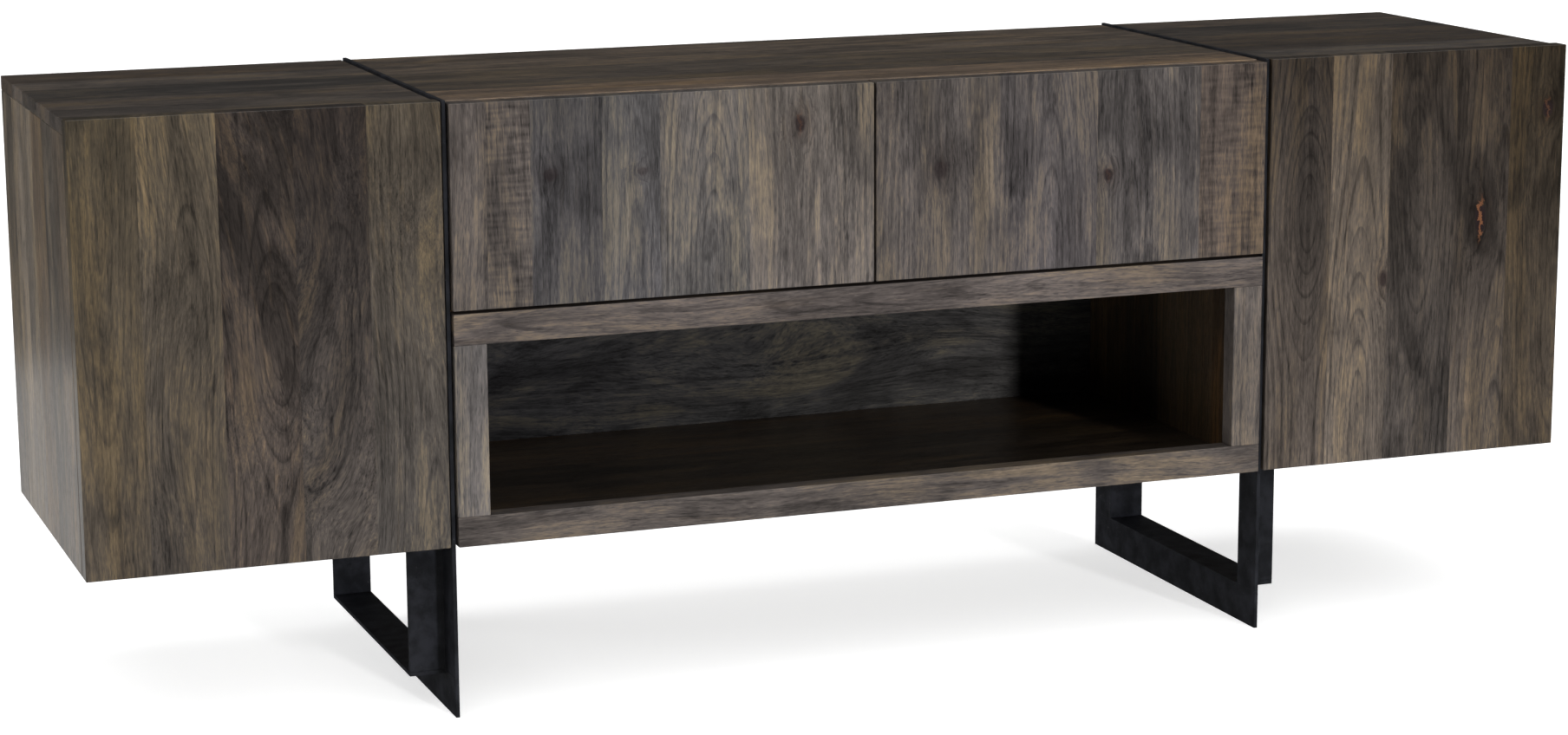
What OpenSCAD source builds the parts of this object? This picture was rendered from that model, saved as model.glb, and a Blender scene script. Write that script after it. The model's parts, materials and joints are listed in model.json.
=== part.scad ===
// Sideboard buffet: two door cabinets and a drawer cabinet carried between two steel frames.
// Millimetres, +Z up, the front faces -Y. The origin is on the floor under the middle of the piece.
// Handed pieces are drawn for the right-hand side (+X) and mirrored for the left.

/* [Overall] */
// Overall width
body_w = 1980; // [1650:10:2400]
// Height of the cabinets, from underside to top surface
body_h = 540; // [450:5:700]
// Depth of the cabinets behind the doors
carcass_d = 462; // [380:2:620]
// Height of the cabinets' underside above the floor
leg_h = 215; // [120:5:320]

/* [Cabinets] */
// Width of each side cabinet
side_w = 439; // [330:1:540]
// Thickness of the solid wood panels
panel_t = 18; // [15:1:24]
// Thickness of the plywood backs
back_t = 6; // [4:1:9]
// Distance of the backs in from the rear edges
back_inset = 10; // [6:1:20]
// Depth of the grooves that hold the backs and the drawer bottoms
groove_d = 5; // [3:1:7]
// Gap round a loose shelf
shelf_gap = 1; // [0.5:0.5:3]
// Distance of the shelf's front edge behind the cabinet's front
shelf_setback = 25; // [10:5:60]

/* [Doors and fronts] */
// Thickness of the doors and drawer fronts
front_t = 25; // [18:1:30]
// Gap between the cabinets and their doors or drawer fronts
front_gap = 2; // [1.5:0.5:3]
// Height of the door tops above the cabinet tops
door_rise = 2; // [0:0.5:4]
// How far the drawer cabinet's fronts stand forward of the doors
centre_proud = 3; // [1:1:8]
// Drop of the drawer fronts' top edges below the cabinet top
front_drop = 1; // [0:0.5:4]
// Gap between the two drawer fronts
split_gap = 3; // [2:0.5:5]
// Gap under the drawer fronts
under_gap = 4; // [2:0.5:6]

/* [Open shelf] */
// Height of the open shelf's mouth
mouth_h = 211; // [160:1:260]
// Height of the rail under the mouth
bottom_rail_h = 37; // [25:1:60]
// Height of the rail over the mouth
top_rail_h = 38; // [30:1:60]
// Width of the stiles beside the mouth
stile_w = 40.5; // [25:0.5:70]

/* [Drawers] */
// Thickness of the drawer boxes' sides and ends
box_t = 12; // [10:1:16]
// Thickness of the drawer bottoms
box_bottom_t = 6; // [4:1:9]
// Height of the drawer bottoms above the boxes' lower edges
bottom_lift = 10; // [6:1:16]
// Space between the top rail and the drawer boxes
box_lift = 11; // [4:1:20]
// Space over the drawer boxes
box_head_room = 65; // [30:5:120]
// Space behind the drawer boxes
box_rear_room = 51; // [48:1:80]
// Width of the space that a runner fills beside a box
runner_w = 13; // [12.5:0.5:14]
// Height of the runners' cabinet members
runner_h = 45; // [40:1:50]
// Height of the runners' middle line above the boxes' lower edges
runner_lift = 36; // [28:1:45]

/* [Steel frames] */
// Leg length of the steel angle, also the width of the flat bars
angle_w = 50; // [35:1:60]
// Thickness of the steel
angle_t = 5; // [3:0.5:8]
// Space between the steel and each cabinet, filled by washers
web_gap = 2; // [1:0.5:4]
// Height of the frames' tops above the cabinets
frame_rise = 2.5; // [0:0.5:5]
// Distance of the frames' front edges behind the door faces
frame_setback = 4; // [0:1:12]
// How far the frames stand out behind the cabinets
frame_proud = 2; // [0:1:8]

/* [Fittings] */
// Outer radius of a hinge cup
cup_r = 17.5; // [13:0.5:17.5]
// Depth of a hinge cup
cup_depth = 11.5; // [10:0.5:13]
// Distance of the cups' middles from the door's outer edge
cup_edge = 22.5; // [20.5:0.5:24]
// Distance of the hinges from the door's top and bottom edges
hinge_inset = 90; // [60:5:140]
// Radius of a latch plunger
plunger_r = 4; // [3:0.5:5]
// Radius of a shelf pin
pin_r = 2.5; // [2:0.5:3]
// Radius of a connector bolt
bolt_r = 3; // [2.5:0.5:4]
// Length of a connector bolt under its head
bolt_len = 40; // [34:1:44]
// Distance of the connector bolts from the cabinets' undersides and tops
bolt_inset = 115; // [90:5:160]

/* [Hidden] */
$fn = 48;

wood = "#4a4038";
light_wood = "#5c5148";
ply = "#2f2d2c";
box_wood = "#8a7560";
steel = "#1c1d20";
zinc = "#a9abad";
plastic = "#33353a";
eps = 0.1;
run_fit = 0.05;
bolt_fit = 0.3;
slide_gap = 0.35;

// Levels
base_z = leg_h;
top_z = leg_h + body_h;
inside_z0 = base_z + panel_t;
inside_z1 = top_z - panel_t;
mouth_z0 = base_z + bottom_rail_h;
mouth_z1 = mouth_z0 + mouth_h;
rail_top = mouth_z1 + top_rail_h;
deck_top = mouth_z1 + panel_t;

// Depth, front to back
overall_d = centre_proud + front_t + front_gap + carcass_d + frame_proud;
centre_face = -overall_d / 2;
door_face = centre_face + centre_proud;
door_back = door_face + front_t;
side_front = door_back + front_gap;
centre_front = centre_face + front_t + front_gap;
rear = side_front + carcass_d;
back_face = rear - back_inset - back_t;
frame_front = door_face + frame_setback;
frame_back = rear + frame_proud;

// Width, on the right-hand side
cab_out = body_w / 2;
cab_in = cab_out - side_w;
centre_half = cab_in - angle_t - 2 * web_gap;
web_x = centre_half + web_gap;
bay_in = panel_t / 2;
bay_out = centre_half - panel_t;

// Drawer boxes
box_x = [bay_in + runner_w, bay_out - runner_w];
box_y = [centre_face + front_t, back_face - box_rear_room];
box_z = [rail_top + box_lift, inside_z1 - box_head_room];
runner_z = box_z[0] + runner_lift;

// Runners: the members' sheet, their half heights, and their flanges and ball races. The places
// across are counted from the cabinet's wall, and the races are the height between two members.
sheet_t = 1.2;
outer_race_h = 5.5;
inner_race_h = 4;
cabinet_half = runner_h / 2;
middle_half = cabinet_half - outer_race_h;
inner_half = middle_half - inner_race_h;
cabinet_flange = [0, runner_w - 2.5];
middle_web = [5, 5 + sheet_t];
middle_flange = [2.6, 9.8];
outer_balls = [5.6, 8.6];
inner_web = [runner_w - sheet_t, runner_w];
inner_flange = [runner_w - 5.6, runner_w];
inner_balls = [runner_w - 4.8, runner_w - 2.8];

// Loose shelf, halfway up the cabinet
shelf_z = (inside_z0 + inside_z1 - panel_t) / 2;
pin_depth = 9;
pin_hole_room = 1;
pin_stem_reach = 2;
pin_tab = [10, 12, 2];
pin_pitch = 32;
pin_from_front = 40;
pin_from_back = 60;
pin_rows = [for (row = [-1:1]) shelf_z - pin_r + row * pin_pitch];
pin_ys = [side_front + shelf_setback + pin_from_front, back_face - pin_from_back];

// Hinges: the cup and its flange in the door, the fork on the cup, the sliding link and its arm.
// The places front to back are counted from the cabinet's front.
hinge_zs = [base_z + hinge_inset, top_z + door_rise - hinge_inset];
hinge_wall = cab_out - panel_t;
cup_x = cab_out - cup_edge;
cup_wall = 1;
cup_room = 0.5;
wing_r = 6;
wing_reach = 24;
fork_x = [hinge_wall - 5.3, hinge_wall - 1.3];
fork_z = [5.5, 8];
fork_rise = 0.5;
fork_reach = 7;
link_x = [hinge_wall - 10, hinge_wall - 6];
link_y = [-9, 45];
link_half = 5;
arm_plate_t = 2;
arm_plate_y = [20, 64];
arm_plate_half = 24;
channel_wall = 2;
channel_y = [9, 62];
channel_half = 8;
channel_depth = 60;

// Latches and bolts
latch_w = 14;
latch_len = 46;
latch_setback = 2;
latch_stroke_room = 8;
plunger_len = 24;
plunger_gap = 0.5;
door_latch_offset = 27;
door_latch_x = cab_in + panel_t + door_latch_offset;
door_latch_z = inside_z1 - latch_w / 2;
drawer_latch_x = (bay_in + bay_out) / 2;
drawer_latch_lift = 18;
drawer_latch_z = box_z[0] + drawer_latch_lift;
drawer_latch_gap = 12;
drawer_latch_half = 12;
bolt_from_edge = [angle_w - 12, angle_w - 13];
bolt_ys = [frame_front + bolt_from_edge[0], frame_back - bolt_from_edge[1]];
bolt_zs = [base_z + bolt_inset, top_z - bolt_inset];
head_r = 6.5;
head_t = 3;
washer_r = 8;

// A block between two limits on each axis
module slab(x, y, z)
    translate([x[0], y[0], z[0]])
        cube([x[1] - x[0], y[1] - y[0], z[1] - z[0]]);

// A round bar along Y, and one along X
module y_rod(r, x, y, z)
    translate([x, y[0], z])
        rotate([-90, 0, 0])
            cylinder(r = r, h = y[1] - y[0]);

module x_rod(r, x, y, z)
    translate([x[0], y, z])
        rotate([0, 90, 0])
            cylinder(r = r, h = x[1] - x[0]);

module left_hand() mirror([1, 0, 0]) children();

module both_hands() {
    children();
    left_hand() children();
}

// Places children at each connector bolt of the right-hand frame
module at_bolts()
    for (y = bolt_ys, z = bolt_zs)
        translate([0, y, z]) children();

// Side cabinet ------------------------------------------------------------

module side_back_shape()
    slab(
        [cab_in + panel_t - groove_d, cab_out - panel_t + groove_d],
        [back_face, back_face + back_t],
        [inside_z0 - groove_d, inside_z1 + groove_d]
    );

// Holes for the shelf pins, in three rows so that the shelf can be moved
module pin_holes()
    for (y = pin_ys, z = pin_rows) {
        x_rod(pin_r + run_fit, [cab_in + panel_t - pin_depth - pin_hole_room, cab_in + panel_t + eps], y, z);
        x_rod(pin_r + run_fit, [cab_out - panel_t - eps, cab_out - panel_t + pin_depth + pin_hole_room], y, z);
    }

module cabinet_top()
    color(wood)
        difference() {
            slab([cab_in, cab_out], [side_front, rear], [inside_z1, top_z]);
            side_back_shape();
        }

module cabinet_bottom()
    color(wood)
        difference() {
            slab([cab_in + panel_t, cab_out - panel_t], [side_front, rear], [base_z, inside_z0]);
            side_back_shape();
        }

module outer_side()
    color(wood)
        difference() {
            slab([cab_out - panel_t, cab_out], [side_front, rear], [base_z, inside_z1]);
            side_back_shape();
            pin_holes();
        }

module inner_side()
    color(wood)
        difference() {
            slab([cab_in, cab_in + panel_t], [side_front, rear], [base_z, inside_z1]);
            side_back_shape();
            pin_holes();
            at_bolts() x_rod(bolt_r + bolt_fit, [cab_in - eps, cab_in + panel_t + eps], 0, 0);
        }

module cabinet_back() color(ply) side_back_shape();

module shelf()
    color(wood)
        slab(
            [cab_in + panel_t + shelf_gap, cab_out - panel_t - shelf_gap],
            [side_front + shelf_setback, back_face - shelf_gap],
            [shelf_z, shelf_z + panel_t]
        );

// Spade pins under the shelf: a round stem in the side and a flat tab
module shelf_pin(wall, way)
    for (y = pin_ys) {
        stem = [wall - way * pin_depth, wall + way * pin_stem_reach];
        tab = [wall, wall + way * pin_tab[0]];
        x_rod(pin_r, [min(stem), max(stem)], y, shelf_z - pin_r);
        slab([min(tab), max(tab)], [y - pin_tab[1] / 2, y + pin_tab[1] / 2], [shelf_z - pin_tab[2], shelf_z]);
    }

module shelf_pins()
    color(zinc)
        both_hands() {
            shelf_pin(cab_in + panel_t, 1);
            shelf_pin(cab_out - panel_t, -1);
        }

// Doors and their hinges ----------------------------------------------------

module door()
    color(wood)
        difference() {
            slab([cab_in, cab_out], [door_face, door_back], [base_z, top_z + door_rise]);
            for (z = hinge_zs)
                y_rod(cup_r + run_fit, cup_x, [door_back - cup_depth - cup_room, door_back + eps], z);
        }

// A cup let into the door, its flange, and the fork that the link runs in
module hinge_cup(z) {
    mouth = door_back + cup_wall;
    floor_y = door_back - cup_depth;
    difference() {
        union() {
            y_rod(cup_r, cup_x, [floor_y, mouth], z);
            for (end = [-1, 1]) {
                wing_z = z + end * wing_reach;
                y_rod(wing_r, cup_x, [door_back, mouth], wing_z);
                slab([cup_x - wing_r, cup_x + wing_r], [door_back, mouth], [min(z, wing_z), max(z, wing_z)]);
            }
        }
        y_rod(cup_r - cup_wall, cup_x, [floor_y + cup_wall, mouth + eps], z);
    }
    for (end = [-1, 1])
        slab(
            fork_x,
            [floor_y + fork_rise, side_front + fork_reach],
            [z + min(end * fork_z), z + max(end * fork_z)]
        );
}

module hinge_cups() color(zinc) for (z = hinge_zs) hinge_cup(z);

module hinge_links()
    color(zinc)
        for (z = hinge_zs)
            slab(link_x, [side_front + link_y[0], side_front + link_y[1]], [z - link_half, z + link_half]);

// A mounting plate on the side and the channel that the link slides out of
module hinge_arm(z)
    difference() {
        union() {
            slab(
                [hinge_wall - arm_plate_t, hinge_wall],
                [side_front + arm_plate_y[0], side_front + arm_plate_y[1]],
                [z - arm_plate_half, z + arm_plate_half]
            );
            slab(
                [link_x[0] - channel_wall, hinge_wall - arm_plate_t],
                [side_front + channel_y[0], side_front + channel_y[1]],
                [z - channel_half, z + channel_half]
            );
        }
        slab(
            [link_x[0] - slide_gap, link_x[1] + slide_gap],
            [side_front, side_front + channel_depth],
            [z - link_half - slide_gap, z + link_half + slide_gap]
        );
    }

module hinge_arms() color(zinc) both_hands() for (z = hinge_zs) hinge_arm(z);

// Push latches -----------------------------------------------------------------

module door_latch_housing()
    difference() {
        slab(
            [door_latch_x - latch_w / 2, door_latch_x + latch_w / 2],
            [side_front + latch_setback, side_front + latch_setback + latch_len],
            [door_latch_z - latch_w / 2, inside_z1]
        );
        y_rod(
            plunger_r + run_fit, door_latch_x,
            [side_front, side_front + plunger_len + latch_stroke_room], door_latch_z
        );
    }

module drawer_latch_housing()
    difference() {
        slab(
            [drawer_latch_x - drawer_latch_half, drawer_latch_x + drawer_latch_half],
            [box_y[1] + drawer_latch_gap, back_face],
            [deck_top, drawer_latch_z + drawer_latch_half]
        );
        y_rod(
            plunger_r + run_fit, drawer_latch_x,
            [box_y[1], box_y[1] + plunger_len + latch_stroke_room], drawer_latch_z
        );
    }

module latch_housings()
    color(plastic)
        both_hands() {
            door_latch_housing();
            drawer_latch_housing();
        }

module door_plunger()
    color(zinc)
        y_rod(
            plunger_r, door_latch_x,
            [door_back + plunger_gap, door_back + plunger_gap + plunger_len], door_latch_z
        );

module drawer_plunger()
    color(zinc)
        y_rod(
            plunger_r, drawer_latch_x,
            [box_y[1] + plunger_gap, box_y[1] + plunger_gap + plunger_len], drawer_latch_z
        );

// Drawer cabinet ------------------------------------------------------------------

module centre_back_shape()
    slab(
        [-bay_out - groove_d, bay_out + groove_d],
        [back_face, back_face + back_t],
        [inside_z0 - groove_d, inside_z1 + groove_d]
    );

module centre_top()
    color(wood)
        difference() {
            slab([-centre_half, centre_half], [centre_front, rear], [inside_z1, top_z]);
            centre_back_shape();
        }

module centre_floor()
    color(wood)
        difference() {
            slab([-bay_out, bay_out], [centre_front, rear], [base_z, inside_z0]);
            centre_back_shape();
        }

module centre_side()
    color(wood)
        difference() {
            slab([bay_out, centre_half], [centre_front, rear], [base_z, inside_z1]);
            centre_back_shape();
            at_bolts() x_rod(bolt_r + run_fit, [cab_in + panel_t - bolt_len - 1, centre_half + eps], 0, 0);
        }

module centre_back() color(ply) centre_back_shape();

module drawer_deck()
    color(wood)
        slab([-bay_out, bay_out], [centre_front, back_face], [mouth_z1, deck_top]);

module drawer_divider()
    color(wood)
        slab([-bay_in, bay_in], [centre_front, back_face], [deck_top, inside_z1]);

module top_rail()
    color(light_wood)
        slab([-centre_half, centre_half], [centre_face, centre_front], [mouth_z1, rail_top]);

module bottom_rail()
    color(light_wood)
        slab([-centre_half, centre_half], [centre_face, centre_front], [base_z, mouth_z0]);

module stile()
    color(light_wood)
        slab([centre_half - stile_w, centre_half], [centre_face, centre_front], [mouth_z0, mouth_z1]);

// Drawers ------------------------------------------------------------------------

module drawer_bottom_shape()
    slab(
        [box_x[0] + box_t - groove_d, box_x[1] - box_t + groove_d],
        [box_y[0] + box_t - groove_d, box_y[1] - box_t + groove_d],
        [box_z[0] + bottom_lift, box_z[0] + bottom_lift + box_bottom_t]
    );

module drawer_front()
    color(wood)
        slab(
            [split_gap / 2, centre_half],
            [centre_face, centre_face + front_t],
            [rail_top + under_gap, top_z - front_drop]
        );

module drawer_sides()
    color(box_wood)
        difference() {
            union() {
                slab([box_x[0], box_x[0] + box_t], box_y, box_z);
                slab([box_x[1] - box_t, box_x[1]], box_y, box_z);
            }
            drawer_bottom_shape();
        }

module drawer_end(y)
    color(box_wood)
        difference() {
            slab([box_x[0] + box_t, box_x[1] - box_t], y, box_z);
            drawer_bottom_shape();
        }

module drawer_subfront() drawer_end([box_y[0], box_y[0] + box_t]);
module drawer_back() drawer_end([box_y[1] - box_t, box_y[1]]);
module drawer_bottom() color(ply) drawer_bottom_shape();

// Ball-bearing runners: x is counted from the cabinet's wall towards the box
module at_walls() {
    translate([bay_in, 0, 0]) children();
    translate([bay_out, 0, 0]) mirror([1, 0, 0]) children();
}

// A slab repeated above and below the runner's middle line
module runner_pair(x, z) {
    slab(x, box_y, [runner_z + z[0], runner_z + z[1]]);
    slab(x, box_y, [runner_z - z[1], runner_z - z[0]]);
}

module cabinet_member() {
    slab([0, sheet_t], box_y, [runner_z - cabinet_half, runner_z + cabinet_half]);
    runner_pair(cabinet_flange, [cabinet_half - sheet_t, cabinet_half]);
}

module middle_member() {
    slab(middle_web, box_y, [runner_z - middle_half, runner_z + middle_half]);
    runner_pair(middle_flange, [middle_half - sheet_t, middle_half]);
    runner_pair(outer_balls, [middle_half, cabinet_half - sheet_t - slide_gap]);
}

module drawer_member() {
    slab(inner_web, box_y, [runner_z - inner_half, runner_z + inner_half]);
    runner_pair(inner_flange, [inner_half - sheet_t, inner_half]);
    runner_pair(inner_balls, [inner_half, middle_half - sheet_t - slide_gap]);
}

module cabinet_runners() color(zinc) both_hands() at_walls() cabinet_member();
module middle_runners() color(zinc) at_walls() middle_member();
module drawer_runners() color(zinc) at_walls() drawer_member();

// Steel frames -------------------------------------------------------------------

module bolt_holes() at_bolts() x_rod(bolt_r + bolt_fit, [web_x - eps, web_x + angle_t + eps], 0, 0);

// An angle below the cabinets, cut back to its web between them
module front_upright()
    color(steel)
        difference() {
            union() {
                slab(
                    [web_x, web_x + angle_t],
                    [frame_front, frame_front + angle_w],
                    [angle_w, top_z + frame_rise - angle_w]
                );
                slab(
                    [web_x, web_x + angle_w],
                    [frame_front + angle_w - angle_t, frame_front + angle_w],
                    [angle_w, base_z]
                );
            }
            bolt_holes();
        }

module rear_upright()
    color(steel)
        difference() {
            union() {
                slab(
                    [web_x, web_x + angle_t],
                    [frame_back - angle_w, frame_back],
                    [angle_w, top_z + frame_rise - angle_w]
                );
                slab(
                    [web_x, web_x + angle_w],
                    [frame_back - angle_w, frame_back - angle_w + angle_t],
                    [angle_w, base_z]
                );
            }
            bolt_holes();
        }

module foot_bar()
    color(steel) {
        slab([web_x, web_x + angle_t], [frame_front, frame_back], [0, angle_w]);
        slab(
            [web_x, web_x + angle_w],
            [frame_front + angle_w - angle_t, frame_back - angle_w + angle_t],
            [angle_w - angle_t, angle_w]
        );
    }

module frame_top_bar()
    color(steel)
        slab(
            [web_x, web_x + angle_t],
            [frame_front, frame_back],
            [top_z + frame_rise - angle_w, top_z + frame_rise]
        );

module washer(x)
    difference() {
        x_rod(washer_r, [x, x + web_gap], 0, 0);
        x_rod(bolt_r + bolt_fit, [x - eps, x + web_gap + eps], 0, 0);
    }

module connector_bolts()
    color(zinc)
        both_hands()
            at_bolts() {
                head_x = cab_in + panel_t;
                x_rod(bolt_r, [head_x - bolt_len, head_x + eps], 0, 0);
                x_rod(head_r, [head_x, head_x + head_t], 0, 0);
                washer(centre_half);
                washer(web_x + angle_t);
            }

left_hand() cabinet_top();  // left_cabinet_top
left_hand() cabinet_bottom();  // left_cabinet_bottom
left_hand() outer_side();  // left_outer_side
left_hand() inner_side();  // left_inner_side
left_hand() cabinet_back();  // left_cabinet_back
left_hand() shelf();  // left_shelf
left_hand() door();  // left_door
left_hand() hinge_cups();  // left_hinge_cups
left_hand() hinge_links();  // left_hinge_links
cabinet_top();  // right_cabinet_top
cabinet_bottom();  // right_cabinet_bottom
outer_side();  // right_outer_side
inner_side();  // right_inner_side
cabinet_back();  // right_cabinet_back
shelf();  // right_shelf
door();  // right_door
hinge_cups();  // right_hinge_cups
hinge_links();  // right_hinge_links
hinge_arms();
shelf_pins();
latch_housings();
connector_bolts();
left_hand() door_plunger();  // left_door_plunger
door_plunger();  // right_door_plunger
left_hand() drawer_plunger();  // left_drawer_plunger
drawer_plunger();  // right_drawer_plunger
centre_top();
centre_floor();
left_hand() centre_side();  // centre_left_side
centre_side();  // centre_right_side
centre_back();
drawer_deck();
drawer_divider();
top_rail();
bottom_rail();
left_hand() stile();  // left_stile
stile();  // right_stile
cabinet_runners();
left_hand() drawer_front();  // left_drawer_front
left_hand() drawer_sides();  // left_drawer_sides
left_hand() drawer_subfront();  // left_drawer_subfront
left_hand() drawer_back();  // left_drawer_back
left_hand() drawer_bottom();  // left_drawer_bottom
left_hand() middle_runners();  // left_middle_runners
left_hand() drawer_runners();  // left_drawer_runners
drawer_front();  // right_drawer_front
drawer_sides();  // right_drawer_sides
drawer_subfront();  // right_drawer_subfront
drawer_back();  // right_drawer_back
drawer_bottom();  // right_drawer_bottom
middle_runners();  // right_middle_runners
drawer_runners();  // right_drawer_runners
left_hand() front_upright();  // left_front_upright
left_hand() rear_upright();  // left_rear_upright
left_hand() foot_bar();  // left_foot_bar
left_hand() frame_top_bar();  // left_frame_top_bar
front_upright();  // right_front_upright
rear_upright();  // right_rear_upright
foot_bar();  // right_foot_bar
frame_top_bar();  // right_frame_top_bar
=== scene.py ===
"""Sideboard buffet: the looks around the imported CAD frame. Metres, +Z up, the front faces -Y."""
import json
import math

import bmesh
import bpy
import numpy as np
from mathutils import Matrix, Vector

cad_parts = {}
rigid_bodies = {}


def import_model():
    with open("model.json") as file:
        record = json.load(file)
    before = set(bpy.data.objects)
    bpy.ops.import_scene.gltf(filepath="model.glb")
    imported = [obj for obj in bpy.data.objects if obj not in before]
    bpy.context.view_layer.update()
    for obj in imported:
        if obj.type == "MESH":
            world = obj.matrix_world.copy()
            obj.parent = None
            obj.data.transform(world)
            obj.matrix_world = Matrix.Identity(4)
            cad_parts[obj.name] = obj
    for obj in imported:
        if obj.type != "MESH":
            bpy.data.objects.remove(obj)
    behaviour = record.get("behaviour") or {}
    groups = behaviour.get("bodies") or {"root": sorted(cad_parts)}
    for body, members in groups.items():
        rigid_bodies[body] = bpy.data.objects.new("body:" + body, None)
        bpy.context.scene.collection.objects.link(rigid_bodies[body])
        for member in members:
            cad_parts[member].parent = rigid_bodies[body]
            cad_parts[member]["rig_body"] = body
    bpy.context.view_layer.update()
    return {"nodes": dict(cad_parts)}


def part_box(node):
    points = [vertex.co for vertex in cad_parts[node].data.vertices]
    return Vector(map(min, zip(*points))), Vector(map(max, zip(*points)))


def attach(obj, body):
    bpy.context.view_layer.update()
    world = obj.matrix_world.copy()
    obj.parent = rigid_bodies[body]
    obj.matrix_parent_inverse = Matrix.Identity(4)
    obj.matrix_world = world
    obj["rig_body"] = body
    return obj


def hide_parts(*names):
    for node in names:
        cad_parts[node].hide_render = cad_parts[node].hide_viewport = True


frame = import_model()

X, Y, Z = 0, 1, 2
SIDES = ("left", "right")
MM = 0.001
SEED = 41
STAIN = 0.74


def seeded(name):
    """A random stream of its own for each panel, so that no panel's boards depend on another's."""
    return np.random.default_rng([SEED, *name.encode()])


def srgb(r, g, b):
    """A display colour, 0 to 255, as a linear one."""
    values = []
    for c in (r, g, b):
        c = c / 255
        values.append(c / 12.92 if c <= 0.04045 else ((c + 0.055) / 1.055) ** 2.4)
    return tuple(values)


# Node graphs ----------------------------------------------------------------------------


class Graph:
    """A material with short calls for the nodes it is built from."""

    def __init__(self, name):
        self.material = bpy.data.materials.new(name)
        self.material.use_nodes = True
        self.tree = self.material.node_tree
        self.tree.nodes.clear()
        self.output = self.tree.nodes.new("ShaderNodeOutputMaterial")

    def put(self, socket, value):
        if isinstance(value, bpy.types.NodeSocket):
            self.tree.links.new(value, socket)
        elif value is not None:
            socket.default_value = value

    def node(self, kind, inputs=None, **settings):
        made = self.tree.nodes.new("ShaderNode" + kind)
        for key, value in settings.items():
            setattr(made, key, value)
        for key, value in (inputs or {}).items():
            self.put(made.inputs[key], value)
        return made

    def attribute(self, name):
        return self.node("Attribute", attribute_name=name)

    def math(self, operation, a, b=None, c=None, clamp=False):
        made = self.node("Math", operation=operation, use_clamp=clamp)
        for socket, value in zip(made.inputs, (a, b, c)):
            self.put(socket, value)
        return made.outputs[0]

    def vector(self, operation, a, b=None):
        made = self.node("VectorMath", operation=operation)
        self.put(made.inputs[0], a)
        self.put(made.inputs[1], b)
        return made.outputs["Value" if operation in ("LENGTH", "DOT_PRODUCT") else "Vector"]

    def split(self, vector):
        return self.node("SeparateXYZ", {0: vector}).outputs

    def join(self, x=0.0, y=0.0, z=0.0):
        return self.node("CombineXYZ", {0: x, 1: y, 2: z}).outputs[0]

    def noise(self, vector, stretch=(1, 1, 1), detail=2.0, roughness=0.5, distortion=0.0, colour=False):
        """Noise whose features are about 1/stretch metres long on each axis."""
        place = self.vector("MULTIPLY", vector, stretch)
        inputs = {"Vector": place, "Scale": 1.0, "Detail": detail}
        inputs["Roughness"] = roughness
        inputs["Distortion"] = distortion
        made = self.node("TexNoise", inputs)
        return made.outputs["Color" if colour else "Fac"]

    def cells(self, vector, stretch):
        """Irregular cells about 1/stretch metres long on each axis, each with its own value."""
        place = self.vector("MULTIPLY", vector, stretch)
        made = self.node("TexVoronoi", {"Vector": place, "Scale": 1.0, "Randomness": 1.0}, feature="F1")
        return self.split(made.outputs["Color"])[0]

    def noise_1d(self, w, detail=2.0, roughness=0.5):
        inputs = {"W": w, "Scale": 1.0, "Detail": detail, "Roughness": roughness}
        return self.node("TexNoise", inputs, noise_dimensions="1D").outputs["Fac"]

    def remap(self, value, low, high, to_low=0.0, to_high=1.0, smooth=True):
        kind = "SMOOTHSTEP" if smooth else "LINEAR"
        inputs = {0: value, 1: low, 2: high, 3: to_low, 4: to_high}
        return self.node("MapRange", inputs, interpolation_type=kind, clamp=True).outputs[0]

    def mix(self, factor, a, b, blend="MIX"):
        made = self.node("Mix", data_type="RGBA", blend_type=blend, clamp_factor=True)
        self.put(made.inputs[0], factor)
        self.put(made.inputs[6], a)
        self.put(made.inputs[7], b)
        return made.outputs[2]

    def scale(self, vector, amount):
        made = self.node("VectorMath", operation="SCALE")
        self.put(made.inputs[0], vector)
        self.put(made.inputs["Scale"], amount)
        return made.outputs["Vector"]

    def bump(self, height, strength, distance, normal=None):
        inputs = {"Height": height, "Strength": strength, "Distance": distance}
        made = self.node("Bump", inputs)
        if normal is not None:
            self.put(made.inputs["Normal"], normal)
        return made.outputs[0]

    def finish(self, colour, roughness, normal=None, **uniform):
        """The shader: colour, roughness and normal may be linked, and the rest are plain numbers."""
        shader = self.node("BsdfPrincipled")
        self.put(shader.inputs["Base Color"], colour)
        self.put(shader.inputs["Roughness"], roughness)
        if normal is not None:
            self.put(shader.inputs["Normal"], normal)
        for key, value in uniform.items():
            shader.inputs[key.replace("_", " ")].default_value = value
        self.tree.links.new(shader.outputs[0], self.output.inputs[0])
        return self.material


# Materials ------------------------------------------------------------------------------

# Features in a metre: across the board, along its fibres and into it.
SLOW_BEND = (5, 2.1, 5)
QUICK_BEND = (50, 9, 50)
FLAMES = (34, 1.9, 34)
HUES = (24, 3.0, 24)
COARSE_GRAIN = (140, 6, 140)
THREADS = (330, 8, 330)
VEINS = (210, 2.6, 210)
FLECKS = (440, 36, 440)
PORES = (900, 75, 900)
FIBRES = (820, 62, 820)
FINE_GRAIN = (1300, 110, 1300)
BLOTCHES = (15, 5, 15)
MOTTLE = (48, 22, 48)
CURL_RIPPLE = (26, 150, 26)

# How much each of them lightens or darkens the board.
FINE_TONE = 0.9
FIBRE_TONE = 0.32
FLECK_TONE = 0.5
THREAD_TONE = 0.2
COARSE_TONE = 0.26
FLAME_TONE = 0.62
MOTTLE_TONE = 0.6
RING_LINE_DARK = 0.42
VEIN_DARK = 0.24
PORE_DARK = 0.24
DARKEST = 0.1

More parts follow.
